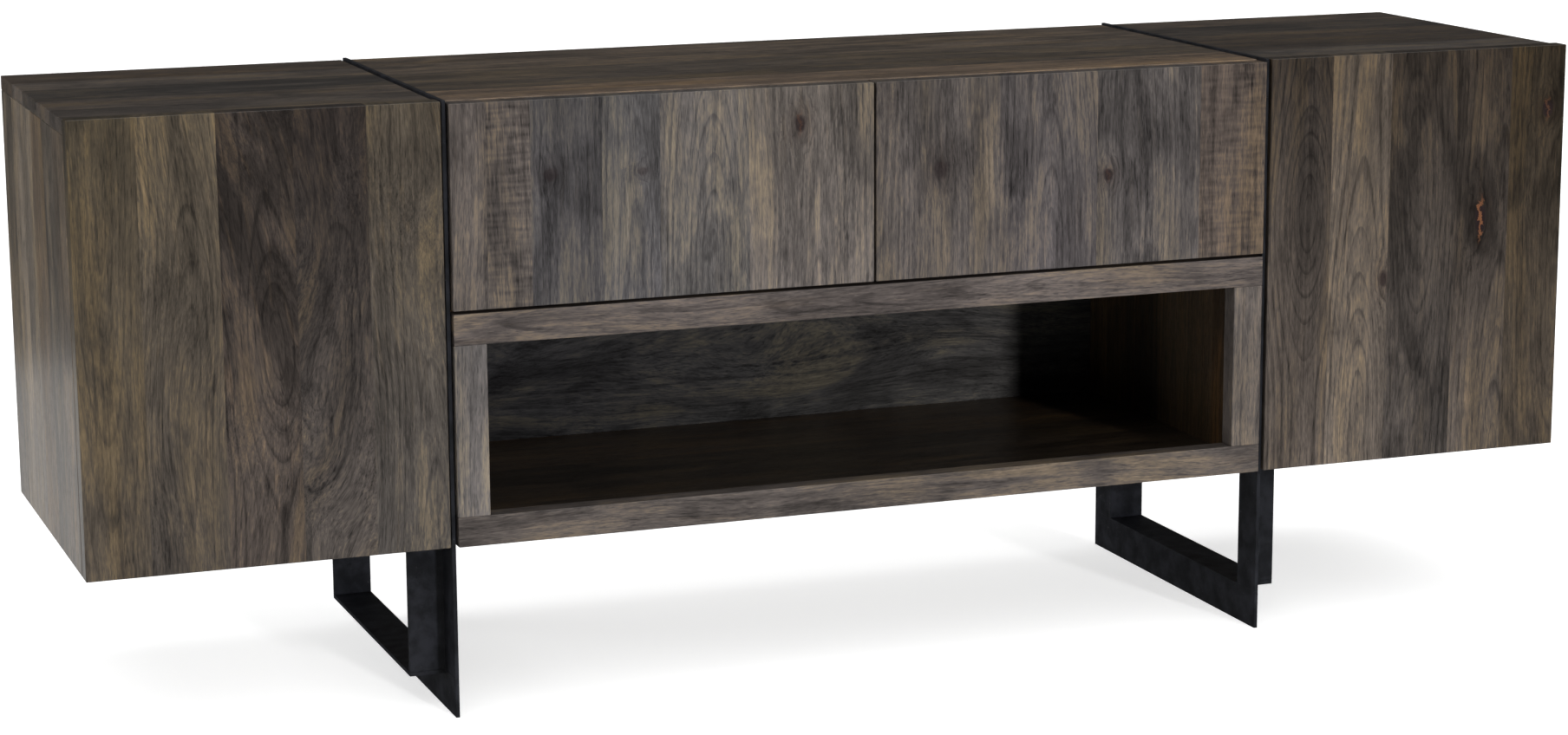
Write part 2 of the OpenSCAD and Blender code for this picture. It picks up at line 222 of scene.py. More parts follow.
# How the fibres and the rings bend, and how they pass a knot.
QUICK_BEND_REACH = 0.0014
KNOT_PUSH = 1.3
KNOT_SOFTNESS = 0.7
KNOT_LENGTH = 0.7
BEND_ON_RINGS = 0.6
DEPTH_REACH = 0.06
DEPTH_KEPT = 0.045
PULL_ON_RINGS = 3.0
LINES_A_RING = 0.55

# Colours as shares of the board's own tone.
COOL = (0.96, 0.99, 1.06)
WARM = (1.06, 1.0, 0.83)
PALE_STREAK = (1.75, 1.6, 1.35)
KNOT_HALO = (0.5, 0.44, 0.42)

# How strong the halo round a knot is, how far colours, patches and cracks stray, and the pores' relief.
HALO_STRENGTH = 0.62
HUE_SWING = 1.8
PATCH_WAVE = 2.6
CRACK_WANDER = 3.2
PORE_STRENGTH = 0.25
PORE_HEIGHT = 0.0004


def wood_coordinates(g):
    """(the board's own coordinates, how far the fibres bend there): flow says how much they swirl."""
    grain = g.attribute("grain").outputs["Vector"]
    swirl, knot_radius, _ = g.split(g.attribute("flow").outputs["Vector"])
    slow = g.noise(grain, SLOW_BEND, 1.5, 0.4, colour=True)
    slow = g.scale(g.vector("SUBTRACT", slow, (0.5, 0.5, 0.5)), swirl)
    quick = g.noise(grain, QUICK_BEND, 1.0, 0.5, colour=True)
    quick = g.scale(g.vector("SUBTRACT", quick, (0.5, 0.5, 0.5)), QUICK_BEND_REACH)
    bend = g.vector("MULTIPLY", g.vector("ADD", slow, quick), (1.0, 0.0, 1.0))
    return grain, g.vector("SUBTRACT", bend, round_knot(g, knot_radius))


def round_knot(g, radius):
    """How far the fibres are pushed sideways where they pass the board's knot."""
    across, along, strength = g.split(g.attribute("knot").outputs["Vector"])
    reach = g.vector("LENGTH", g.join(across, g.math("MULTIPLY", along, KNOT_LENGTH), 0.0))
    fall = g.math("MULTIPLY_ADD", reach, reach, KNOT_SOFTNESS)
    push = g.math("MULTIPLY", g.math("DIVIDE", across, fall), g.math("MULTIPLY", strength, radius))
    return g.join(g.math("MULTIPLY", push, KNOT_PUSH), 0.0, 0.0)


def ring_phase(g, bend):
    """How many growth rings lie between a point and the middle of its tree."""
    rings = g.attribute("rings").outputs["Vector"]
    across, into, density = g.split(rings)
    sideways, _, inwards = g.split(bend)
    across = g.math("MULTIPLY_ADD", sideways, BEND_ON_RINGS, across)
    into = g.math("MULTIPLY_ADD", inwards, BEND_ON_RINGS, into)
    into = g.remap(into, -DEPTH_REACH, DEPTH_REACH, -DEPTH_KEPT, DEPTH_KEPT)
    reach = g.vector("LENGTH", g.join(across, into, 0.0))
    return g.math("MULTIPLY", reach, density)


def knot_fields(g):
    """(distance from the board's knot in knot radii, how dark its heart is)."""
    knot = g.attribute("knot").outputs["Vector"]
    across, along, depth = g.split(knot)
    wobble = g.noise(knot, (1.1, 1.1, 1.1), 2.0, 0.6)
    flat = g.vector("LENGTH", g.join(across, along, 0.0))
    distance = g.math("MULTIPLY", flat, g.remap(wobble, 0.2, 0.8, 0.75, 1.3, smooth=False))
    return distance, depth


def knot_crack(g):
    """A thin ragged split down the knot, where the lighter brown inside shows."""
    knot = g.attribute("knot").outputs["Vector"]
    across, along, strength = g.split(knot)
    wander = g.noise(knot, (0.8, 2.2, 0.8), 3.0, 0.7)
    stray = g.math("MULTIPLY", g.math("SUBTRACT", wander, 0.5), CRACK_WANDER)
    off = g.math("ABSOLUTE", g.math("ADD", across, stray))
    ends = g.remap(g.math("ABSOLUTE", along), 1.7, 0.7)
    line = g.math("MULTIPLY", g.remap(off, 0.42, 0.12), ends)
    return g.math("MULTIPLY", line, g.remap(strength, 0.75, 1.0))


def patch_field(g, blotch):
    """How strongly the board's own stain patch darkens a point."""
    across, along, depth = g.split(g.attribute("patch").outputs["Vector"])
    wave = g.math("MULTIPLY", g.math("SUBTRACT", blotch, 0.5), PATCH_WAVE)
    reach = g.vector("LENGTH", g.join(g.math("ADD", across, wave), along, 0.0))
    return g.math("MULTIPLY", g.remap(reach, 1.5, 0.2), depth)


def add_tone(g, light, value, amount):
    """Lightens where value is over a half and darkens where it is under."""
    return g.math("MULTIPLY_ADD", g.math("SUBTRACT", value, 0.5), amount, light)


def dim(g, light, share):
    """Takes a share of the light away."""
    return g.math("MULTIPLY", light, g.math("SUBTRACT", 1.0, share, clamp=True))


def stained_wood(name, roughness, gloss):
    """Solid boards under a thin dark stain.

    Each board's tone, rings, knot, stain patch and figure come from its mesh.
    """
    g = Graph(name)
    grain, bend = wood_coordinates(g)
    knot, knot_strength = knot_fields(g)
    tint = g.attribute("tint").outputs["Color"]
    style = g.attribute("style")
    cloudiness, curl, contrast = g.node("SeparateColor", {0: style.outputs["Color"]}).outputs
    streaks = style.outputs["Alpha"]

    pull = g.math("MULTIPLY", g.remap(knot, 4.0, 0.6), knot_strength)
    phase = g.math("ADD", ring_phase(g, bend), g.math("MULTIPLY", pull, PULL_ON_RINGS))
    bands = g.noise_1d(phase, 2.0, 0.6)
    edge = g.math("FRACT", g.math("MULTIPLY", phase, LINES_A_RING))
    lines = g.math("MULTIPLY", g.remap(edge, 0.7, 0.96), g.remap(edge, 1.0, 0.97))

    bent = g.vector("ADD", grain, bend)
    fine = g.noise(bent, FINE_GRAIN, 1.0, 0.5)
    fleck = g.remap(g.noise(bent, FLECKS, 2.0, 0.7), 0.3, 0.7, smooth=False)
    coarse = g.remap(g.noise(bent, COARSE_GRAIN, 3.0, 0.65), 0.25, 0.75, smooth=False)
    flame = g.remap(g.noise(bent, FLAMES, 3.0, 0.55), 0.28, 0.72, smooth=False)
    hue = g.noise(bent, HUES, 2.0, 0.5)
    threads = g.remap(g.noise(bent, THREADS, 2.0, 0.6), 0.3, 0.7, smooth=False)
    veins = g.remap(g.noise(bent, VEINS, 1.0, 0.5), 0.58, 0.66)
    dashes = g.noise(bent, PORES, 1.0, 0.5)
    pores = g.remap(dashes, 0.58, 0.68)
    blotch = g.noise(bent, BLOTCHES, 3.0, 0.6, 0.5)
    mottle = g.noise(bent, MOTTLE, 3.0, 0.6)
    ripple = g.noise(grain, CURL_RIPPLE, 1.0, 0.5)
    fibres = g.cells(bent, FIBRES)

    light = add_tone(g, 1.0, bands, contrast)
    light = add_tone(g, light, fine, FINE_TONE)
    light = add_tone(g, light, fibres, FIBRE_TONE)
    light = add_tone(g, light, fleck, FLECK_TONE)
    light = add_tone(g, light, threads, THREAD_TONE)
    light = add_tone(g, light, coarse, COARSE_TONE)
    light = add_tone(g, light, flame, FLAME_TONE)
    light = add_tone(g, light, mottle, MOTTLE_TONE)
    light = add_tone(g, light, ripple, curl)
    light = dim(g, light, g.math("MULTIPLY", g.math("MULTIPLY", lines, contrast), RING_LINE_DARK))
    light = dim(g, light, g.math("MULTIPLY", veins, VEIN_DARK))
    light = dim(g, light, g.math("MULTIPLY", pores, PORE_DARK))
    light = dim(g, light, g.math("MULTIPLY", g.remap(blotch, 0.43, 0.62), cloudiness))
    light = dim(g, light, patch_field(g, blotch))
    light = g.math("MAXIMUM", light, DARKEST)

    lit = g.remap(add_tone(g, light, hue, HUE_SWING), 0.7, 1.45)
    cool = g.vector("MULTIPLY", tint, COOL)
    warm = g.vector("MULTIPLY", tint, WARM)
    colour = g.mix(lit, cool, warm)
    streak = g.math("MULTIPLY", g.remap(coarse, 0.6, 0.95), streaks)
    colour = g.mix(streak, colour, g.vector("MULTIPLY", tint, PALE_STREAK))
    colour = g.scale(colour, light)

    heart = g.math("MULTIPLY", g.remap(knot, 1.15, 0.55), knot_strength)
    halo = g.math("MULTIPLY", g.remap(knot, 3.6, 0.9), g.math("MULTIPLY", knot_strength, HALO_STRENGTH))
    colour = g.mix(halo, colour, g.vector("MULTIPLY", colour, KNOT_HALO))
    colour = g.mix(heart, colour, (*srgb(30, 21, 22), 1.0))
    colour = g.mix(knot_crack(g), colour, (*srgb(98, 62, 38), 1.0))

    relief = g.math("SUBTRACT", g.math("MULTIPLY", fleck, 0.4), g.math("MULTIPLY", pores, 0.8))
    relief = g.math("ADD", relief, g.math("MULTIPLY", g.math("MULTIPLY", ripple, curl), 1.2))
    normal = g.bump(relief, PORE_STRENGTH, PORE_HEIGHT)
    rough = g.math("MULTIPLY_ADD", g.math("SUBTRACT", mottle, 0.5), 0.22, roughness)
    rough = g.math("MULTIPLY_ADD", pores, 0.12, rough)
    sheen = {"Specular_IOR_Level": gloss, "Coat_Weight": 0.5, "Coat_Roughness": 0.27}
    return g.finish(colour, rough, normal, **sheen)


def black_steel():
    """Hot-rolled angle under black satin lacquer: mill texture, a few specks and rubbed patches."""
    g = Graph("black_steel")
    place = g.node("TexCoord").outputs["Object"]
    mill = g.noise(place, (38, 38, 38), 4.0, 0.65)
    grit = g.noise(place, (520, 520, 520), 2.0, 0.6)
    specks = g.remap(g.noise(place, (420, 420, 420), 1.0, 0.4), 0.78, 0.82)
    rubbed = g.remap(g.noise(place, (16, 16, 22), 4.0, 0.7), 0.6, 0.78)
    colour = g.mix(g.remap(mill, 0.35, 0.7), (*srgb(18, 19, 22), 1.0), (*srgb(32, 33, 38), 1.0))
    colour = g.mix(g.math("MULTIPLY", rubbed, 0.35), colour, (*srgb(48, 48, 52), 1.0))
    colour = g.mix(specks, colour, (*srgb(110, 110, 114), 1.0))
    rough = g.remap(mill, 0.3, 0.7, 0.5, 0.38, smooth=False)
    rough = g.math("MULTIPLY_ADD", grit, 0.12, rough)
    height = g.math("MULTIPLY_ADD", grit, 0.25, mill)
    normal = g.bump(height, 0.35, 0.0006)
    return g.finish(colour, rough, normal, Metallic=0.0, Specular_IOR_Level=0.5)


def zinc_steel():
    """Bright zinc plate: rolled sheet with faint drawing lines and cloudy passivation."""
    g = Graph("zinc_steel")
    place = g.node("TexCoord").outputs["Object"]
    cloud = g.noise(place, (55, 55, 55), 3.0, 0.6)
    drawn = g.noise(place, (900, 60, 900), 2.0, 0.6)
    colour = g.mix(g.remap(cloud, 0.3, 0.7), (*srgb(150, 152, 154), 1.0), (*srgb(186, 188, 190), 1.0))
    colour = g.mix(g.remap(drawn, 0.55, 0.7), colour, (*srgb(128, 130, 133), 1.0))
    rough = g.remap(drawn, 0.3, 0.7, 0.24, 0.42, smooth=False)
    normal = g.bump(drawn, 0.25, 0.0002)
    return g.finish(colour, rough, normal, Metallic=1.0)


def latch_plastic():
    """Moulded dark grey plastic with a fine spark-eroded grain."""
    g = Graph("latch_plastic")
    place = g.node("TexCoord").outputs["Object"]
    grain = g.noise(place, (1400, 1400, 1400), 2.0, 0.5)
    flow = g.noise(place, (30, 30, 90), 2.0, 0.5)
    colour = g.mix(g.remap(flow, 0.3, 0.7), (*srgb(52, 53, 57), 1.0), (*srgb(64, 65, 68), 1.0))
    rough = g.remap(grain, 0.3, 0.7, 0.42, 0.58, smooth=False)
    return g.finish(colour, rough, g.bump(grain, 0.3, 0.0001), Specular_IOR_Level=0.45)


def pale_floor():
    """A plain matt studio floor that glows faintly, so that it stays pale."""
    g = Graph("studio_floor")
    place = g.node("TexCoord").outputs["Object"]
    cloud = g.noise(place, (0.6, 0.6, 0.6), 2.0, 0.5)
    colour = g.mix(cloud, (0.86, 0.86, 0.86, 1.0), (0.9, 0.9, 0.9, 1.0))
    return g.finish(
        colour,
        0.9,
        Specular_IOR_Level=0.1,
        Emission_Color=(1.0, 1.0, 1.0, 1.0),
        Emission_Strength=FLOOR_GLOW,
    )


# Boards ---------------------------------------------------------------------------------

# Spots of no strength, for the boards that have none.
NO_KNOT = (0.0, 0.0, 0.01, 0.01, 0.0)
NO_PATCH = (0.0, 0.0, 0.1, 0.1, 0.0)


class Board:
    """One glued board: its tone at its low and high ends, its place in the tree, and its figure. The
    ramp between the two tones, where they differ, is painted light and shade.

    heart is where the tree's middle lies across the board, in mm. None is the board's own middle, and
    "random" is anywhere in it. At the place level along the board the tree's middle is sunk mm off
    the face, and lean says how that grows along the board. rings is how many rings a metre holds.
    cloud, curl, contrast and streaks are the strengths of the stain's clouds, the ripple across the
    fibres, the rings and the pale streaks, and swirl is how far the fibres wander, in metres.
    knot and patch are (place across, place along, radius across, radius along, strength), in mm.
    """

    def __init__(
        self,
        low,
        high=None,
        heart=None,
        sunk=30,
        lean=0.06,
        level=0,
        rings=260,
        cloud=0.3,
        curl=0.0,
        contrast=0.5,
        streaks=0.15,
        knot=None,
        patch=None,
        swirl=0.045,
    ):
        self.low = tuple(STAIN * c for c in srgb(*low))
        self.high = tuple(STAIN * c for c in srgb(*(high or low)))
        self.heart = heart
        self.sunk = sunk
        self.lean = lean
        self.level = level
        self.rings = rings
        self.style = (cloud, curl, contrast, streaks)
        self.knot = knot or NO_KNOT
        self.patch = patch or NO_PATCH
        self.swirl = swirl


def stray_board(rng, tone, spread):
    """A board of no special figure, near that tone."""
    shift = 1 + rng.uniform(-spread, spread)
    warmth = rng.uniform(-0.03, 0.03)
    near = tuple(c * shift * k for c, k in zip(tone, (1 + warmth, 1.0, 1 - warmth)))
    return Board(
        near,
        heart="random",
        sunk=rng.uniform(12, 60),
        lean=rng.uniform(-0.12, 0.12),
        rings=rng.uniform(200, 320),
        cloud=rng.uniform(0.2, 0.45),
        contrast=rng.uniform(0.35, 0.65),
        streaks=rng.uniform(0.05, 0.3),
    )


def even_seams(rng, low, high, count):
    """Seams of count boards of nearly the same width."""
    steps = np.linspace(low, high, count + 1)[1:-1]
    return [float(s + rng.uniform(-0.12, 0.12) * (high - low) / count) for s in steps]


def on_box_edge(edge, low, high):
    """True for an edge that lies along one of the box's twelve edges."""
    a, b = (v.co for v in edge.verts)
    held = 0
    for k in range(3):
        if abs(a[k] - b[k]) > 1e-5:
            continue
        if min(abs(a[k] - low[k]), abs(a[k] - high[k])) < 1e-5:
            held += 1
    return held >= 2


def board_mesh(node, across, seams, ease):
    """The CAD panel's mesh with eased edges, cut into faces at the seams between its boards."""
    low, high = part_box(node)
    bm = bmesh.new()
    bm.from_mesh(frame["nodes"][node].data)
    bmesh.ops.remove_doubles(bm, verts=bm.verts, dist=1e-6)
    bmesh.ops.dissolve_limit(bm, angle_limit=0.002, verts=bm.verts, edges=bm.edges)
    edges = [e for e in bm.edges if e.is_manifold and on_box_edge(e, low, high)]
    rounding = {"segments": 3, "profile": 0.5, "affect": "EDGES", "clamp_overlap": True}
    bmesh.ops.bevel(bm, geom=edges, offset=ease, **rounding)
    for seam in seams:
        place = Vector((0, 0, 0))
        place[across] = seam
        normal = Vector((0, 0, 0))
        normal[across] = 1
        geom = bm.verts[:] + bm.edges[:] + bm.faces[:]
        bmesh.ops.bisect_plane(bm, geom=geom, plane_co=place, plane_no=normal, dist=1e-6)
    bmesh.ops.triangulate(bm, faces=[f for f in bm.faces if len(f.verts) > 4])
    mesh = bpy.data.meshes.new(node)
    bm.to_mesh(mesh)
    bm.free()
    return mesh


def corner_arrays(mesh):
    """(corner positions, the polygon each corner is in, polygon centres)."""
    points = np.zeros(len(mesh.vertices) * 3)
    mesh.vertices.foreach_get("co", points)
    index = np.zeros(len(mesh.loops), int)
    mesh.loops.foreach_get("vertex_index", index)
    totals = np.zeros(len(mesh.polygons), int)
    mesh.polygons.foreach_get("loop_total", totals)
    centres = np.zeros(len(mesh.polygons) * 3)
    mesh.polygons.foreach_get("center", centres)
    owner = np.repeat(np.arange(len(totals)), totals)
    return points.reshape(-1, 3)[index], owner, centres.reshape(-1, 3)


def write(mesh, name, values):
    """Stores one value for each corner: a vector or, with four numbers, a colour."""
    wide = values.shape[1] == 4
    layer = mesh.attributes.new(name, "FLOAT_COLOR" if wide else "FLOAT_VECTOR", "CORNER")
    flat = np.ascontiguousarray(values, np.float32).ravel()
    layer.data.foreach_set("color" if wide else "vector", flat)


def paint_boards(mesh, axes, face, seams, boards, rng):
    """Gives each corner its board's coordinates, rings, tone, figure, knot and stain patch."""
    across, along, depth = axes
    points, owner, centres = corner_arrays(mesh)
    which = np.searchsorted(np.array(seams), centres[:, across])[owner]
    low = points[:, along].min()
    high = points[:, along].max()
    edges = [points[:, across].min(), *seams, points[:, across].max()]
    u, v, w = points[:, across], points[:, along], np.abs(points[:, depth] - face)
    share = ((v - low) / (high - low))[:, None]
    size = len(points)
    grain, rings, knot, patch, flow = (np.zeros((size, 3)) for _ in range(5))
    tint, style = np.ones((size, 4)), np.ones((size, 4))
    for k, board in enumerate(boards):
        mine = which == k
        shift = rng.uniform(-20, 20, 3)
        grain[mine] = np.stack([u, v, w], 1)[mine] + shift
        flow[mine, 0] = board.swirl
        flow[mine, 1] = board.knot[2] * MM
        heart = board.heart
        if heart is None:
            heart = (edges[k] + edges[k + 1]) / 2 / MM
        elif heart == "random":
            heart = rng.uniform(edges[k], edges[k + 1]) / MM
        sunk = board.sunk * MM + w + board.lean * (v - board.level * MM)
        rings[mine] = np.stack([u - heart * MM, sunk, np.full(size, board.rings)], 1)[mine]
        # The tone ramps from the low end to the high end: on the doors and drawer fronts this ramp is
        # painted shade, and on the centre back it is painted light.
        tone = np.array(board.low) * (1 - share) + np.array(board.high) * share
        tint[mine, :3] = tone[mine]
        style[mine] = board.style
        for target, spot in ((knot, board.knot), (patch, board.patch)):
            su, sv, ru, rv, strength = spot
            value = [(u - su * MM) / (ru * MM), (v - sv * MM) / (rv * MM), np.full(size, strength)]
            target[mine] = np.stack(value, 1)[mine]
    write(mesh, "grain", grain)
    write(mesh, "rings", rings)
    write(mesh, "knot", knot)
    write(mesh, "patch", patch)
    write(mesh, "flow", flow)
    write(mesh, "tint", tint)
    write(mesh, "style", style)


PANEL_EDGE = 1.2


def panel(node, along, across, seams, boards, material, slot, face="low"):
    """A visible panel that stands for its CAD node. face is the side of it that is seen."""
    depth = 3 - along - across
    low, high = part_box(node)
    seams = sorted(seams)
    metres = [s * MM for s in seams]
    mesh = board_mesh(node, across, metres, PANEL_EDGE * MM)
    place = (low if face == "low" else high)[depth]
    paint_boards(mesh, (across, along, depth), place, metres, boards, seeded(node + "_grain"))
    mesh.materials.append(material)
    piece = bpy.data.objects.new("wood_" + node, mesh)
    bpy.context.scene.collection.objects.link(piece)
    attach(piece, body_of(node))
    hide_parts(node)
    return piece


def body_of(node):
    return frame["nodes"][node]["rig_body"]


# The wood, panel by panel: places in millimetres -----------------------------------------

DRAWER_WOOD = (150, 128, 100)
SHELF_WOOD = (70, 62, 54)
BOTTOM_WOOD = (70, 62, 54)
TOP_WOOD = (84, 74, 65)
CENTRE_TOP_WOOD = (116, 101, 86)
OUTER_WOOD = (101, 89, 75)
INNER_WOOD = (72, 64, 56)
OPEN_SIDE_WOOD = (84, 66, 46)
OPEN_FLOOR_WOOD = (76, 63, 49)
STILE_WOOD = (113, 103, 95)


# The boards' low and high tones: the upper ends are mostly darker, which is painted shade for the light
# falling off towards the door tops; the tones that differ from board to board are the wood's own.
def door_boards_with_painted_shade(side):
    if side == "left":
        seams = [-912, -819, -729, -641]
        boards = [
            Board((86, 76, 64), (76, 66, 50), heart=-955, sunk=34, lean=-0.09, level=300, rings=240,
                  streaks=0.25, patch=(-935, 640, 30, 90, 0.2)),
            Board((79, 71, 63), (89, 78, 62), heart=-862, sunk=16, lean=0.1, level=640, rings=230,
                  contrast=0.6, streaks=0.5, patch=(-870, 600, 32, 60, 0.3), swirl=0.12),
            Board((81, 71, 63), (62, 53, 46), heart=-770, sunk=4, lean=0.2, level=560, rings=200,
                  cloud=0.5, contrast=0.75, streaks=0.75, patch=(-786, 650, 34, 70, 0.2),
                  swirl=0.24),
            Board((84, 76, 69), (51, 43, 38), heart=-705, sunk=10, lean=0.24, level=500, rings=190,
                  cloud=0.4, contrast=0.55, streaks=0.2, patch=(-672, 600, 46, 60, 0.2),
                  swirl=0.22),
            Board((92, 85, 78), (82, 72, 58), heart=-560, sunk=22, lean=0.12, level=250, rings=230,
                  contrast=0.6, streaks=0.5, patch=(-628, 520, 14, 170, 0.3), swirl=0.12),
        ]
    else:
        seams = [641, 728, 827, 908]
        boards = [
            Board((98, 87, 77), (56, 48, 41), heart=607, sunk=0, lean=0.24, level=558, rings=260,
                  cloud=0.15, contrast=0.8, streaks=0.1, patch=(607, 520, 42, 150, 0.3),
                  swirl=0.02),
            Board((115, 103, 91), (84, 73, 61), heart=690, sunk=3, lean=0.12, level=250, rings=300,
                  contrast=0.8, streaks=0.3, knot=(722, 459, 6, 13, 0.75)),
            Board((86, 78, 71), (58, 49, 40), heart=768, sunk=3, lean=0.16, level=620, rings=230,
                  cloud=0.45, contrast=0.6, patch=(805, 310, 40, 110, 0.25)),
            Board((92, 82, 73), (58, 49, 40), heart=900, sunk=24, lean=0.1, level=420, rings=220,
                  cloud=0.5, contrast=0.7, streaks=0.45, knot=(867, 530, 9, 22, 1.0),
                  patch=(860, 470, 24, 130, 0.26)),
            Board((78, 68, 57), (55, 45, 31), heart=985, sunk=20, lean=0.12, level=650, rings=240,
                  cloud=0.45, contrast=0.6, streaks=0.25, knot=(965, 673, 9, 12, 0.85)),
        ]
    return seams, boards


# The boards' low and high tones: every upper end is a little darker, which is painted shade towards the
# top of the drawer fronts; the tones that differ from board to board are the wood's own.
def front_boards_with_painted_shade(side):
    if side == "left":
        seams = [-498, -443, -354, -280, -166]
        boards = [
            Board((100, 91, 84), (92, 83, 76), heart=-560, sunk=60, lean=0.02, rings=300,
                  streaks=0.2),
            Board((97, 88, 81), (90, 81, 74), heart=-560, sunk=60, lean=0.02, rings=300, curl=1.25,
                  contrast=0.5, cloud=0.5, streaks=0.2),
            Board((82, 78, 77), (78, 74, 72), heart=-400, sunk=14, lean=0.03, level=640, rings=240,
                  cloud=0.35, contrast=0.5, knot=(-418, 663, 10, 10, 0.55),
                  patch=(-385, 660, 38, 60, 0.3)),
            Board((92, 88, 87), (88, 84, 81), heart=-310, sunk=24, lean=0.04, level=500, rings=260,
                  contrast=0.55, knot=(-302, 661, 8, 6, 0.5)),
            Board((101, 96, 92), (100, 93, 87), heart=-215, sunk=2, lean=0.16, level=545, rings=250,
                  contrast=0.7, streaks=0.25),
            Board((112, 103, 96), (104, 95, 86), heart=-75, sunk=18, lean=0.08, level=620,
                  rings=230, contrast=0.55, streaks=0.3, knot=(-99, 708, 8, 12, 0.82)),
        ]
    else:
        seams = [32, 168, 303, 448]
        boards = [
            Board((94, 86, 80), (88, 80, 74), heart=60, sunk=30, lean=0.03, rings=260),
            Board((97, 89, 84), (93, 85, 79), heart=95, sunk=6, lean=0.09, level=640, rings=240,
                  cloud=0.35, contrast=0.6, streaks=0.2, knot=(88, 640, 11, 15, 0.5)),
            Board((94, 87, 85), (90, 83, 79), heart=235, sunk=4, lean=0.11, level=560, rings=230,
                  cloud=0.4, contrast=0.7, streaks=0.3),
            Board((97, 90, 86), (93, 86, 81), heart=350, sunk=12, lean=0.06, level=560, rings=240,
                  cloud=0.4, contrast=0.6, streaks=0.25, knot=(319, 621, 8, 9, 0.8)),
            Board((94, 82, 73), (92, 80, 71), heart=480, sunk=60, lean=0.02, rings=300, curl=1.0,
                  contrast=0.5, streaks=0.2),
        ]
    return seams, boards


def plain_panel(node, along, across, count, tone, material, slot, face="low", spread=0.16):
    """A panel of ordinary boards."""
    rng = seeded(node)
    low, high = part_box(node)
    seams = even_seams(rng, low[across] / MM, high[across] / MM, count)
    boards = [stray_board(rng, tone, spread) for _ in range(count)]
    return panel(node, along, across, seams, boards, material, slot, face)


def build_wood(wood, frame_wood, ply, box_wood):
    for side in SIDES:
        panel(side + "_door", Z, X, *door_boards_with_painted_shade(side), wood, "stained_wood")
        panel(side + "_drawer_front", Z, X, *front_boards_with_painted_shade(side), wood, "stained_wood")
        plain_panel(side + "_cabinet_top", X, Y, 5, TOP_WOOD, wood, "stained_wood", "high", spread=0.22)
        plain_panel(side + "_cabinet_bottom", X, Y, 5, BOTTOM_WOOD, wood, "stained_wood")
        outer = "low" if side == "left" else "high"
        plain_panel(side + "_outer_side", Z, Y, 6, OUTER_WOOD, wood, "stained_wood", outer, spread=0.24)
        plain_panel(side + "_inner_side", Z, Y, 5, INNER_WOOD, wood, "stained_wood", outer)
        plain_panel(side + "_shelf", X, Y, 4, SHELF_WOOD, wood, "stained_wood", "high")
        plain_panel(side + "_stile", Z, X, 1, STILE_WOOD, frame_wood, "stained_frame_wood", spread=0.03)
        inner = "high" if side == "left" else "low"
        open_side = f"centre_{side}_side"
        plain_panel(open_side, Z, Y, 6, OPEN_SIDE_WOOD, wood, "stained_wood", inner, spread=0.3)
    plain_panel("centre_top", X, Y, 5, CENTRE_TOP_WOOD, wood, "stained_wood", "high", spread=0.3)
    plain_panel("centre_floor", X, Y, 5, OPEN_FLOOR_WOOD, wood, "stained_wood", "high")
    plain_panel("drawer_deck", X, Y, 5, (60, 52, 44), wood, "stained_wood", "low")
    plain_panel("drawer_divider", Z, Y, 5, (66, 58, 50), wood, "stained_wood")
    plain_panel("top_rail", X, Z, 1, (96, 89, 85), frame_wood, "stained_frame_wood", spread=0.02)
    plain_panel("bottom_rail", X, Z, 1, (98, 90, 84), frame_wood, "stained_frame_wood", spread=0.02)
    # The back's tone is painted lighter from its left end towards its right: painted light standing in
    # for the key lighting the middle of the back.
    veneer_with_painted_light = Board((44, 43, 44), (80, 77, 73), heart=380, sunk=2, lean=0.3, level=-190, rings=170,
                   cloud=0.5, contrast=0.5, streaks=0.05, knot=(-60, 395, 5, 8, 0.7), swirl=0.16)
    panel("centre_back", X, Z, [], [veneer_with_painted_light], ply, "plywood")
    for side in SIDES:
        plain_panel(side + "_cabinet_back", Z, X, 1, (56, 53, 51), ply, "plywood", spread=0.02)
        plain_panel(side + "_drawer_subfront", X, Z, 1, DRAWER_WOOD, box_wood, "drawer_box_wood")
        plain_panel(side + "_drawer_back", X, Z, 1, DRAWER_WOOD, box_wood, "drawer_box_wood")
        plain_panel(side + "_drawer_sides", Y, Z, 1, DRAWER_WOOD, box_wood, "drawer_box_wood")
        plain_panel(side + "_drawer_bottom", X, Y, 1, (158, 138, 110), ply, "plywood")


# Metal and plastic ------------------------------------------------------------------------


STEEL_EDGE = 0.7
ZINC_EDGE = 0.2
LATCH_EDGE = 0.4
SHARP_ANGLE = 35


def soften(node, width, material):
    """Keeps the CAD node, with edges eased by that many millimetres and a finished material."""
    piece = frame["nodes"][node]
    weld = piece.modifiers.new("weld", "WELD")
    weld.merge_threshold = 1e-5
    bevel = piece.modifiers.new("ease", "BEVEL")
    bevel.width = width * MM
    bevel.segments = 2
    bevel.limit_method = "ANGLE"
    bevel.angle_limit = math.radians(SHARP_ANGLE)
    bevel.harden_normals = False
    if not piece.material_slots:
        piece.data.materials.append(material)
    for slot in piece.material_slots:
        slot.material = material


def finish_hardware(steel, zinc, plastic):
    for side in SIDES:
        for part in ("front_upright", "rear_upright", "foot_bar", "frame_top_bar"):
            soften(f"{side}_{part}", STEEL_EDGE, steel)
        for part in ("hinge_links", "hinge_cups", "drawer_runners", "middle_runners"):
            soften(f"{side}_{part}", ZINC_EDGE, zinc)
        for part in ("door_plunger", "drawer_plunger"):
            soften(f"{side}_{part}", LATCH_EDGE, zinc)
    for node in ("hinge_arms", "shelf_pins", "connector_bolts", "cabinet_runners"):
        soften(node, ZINC_EDGE, zinc)
    soften("latch_housings", LATCH_EDGE, plastic)


# Stage ------------------------------------------------------------------------------------

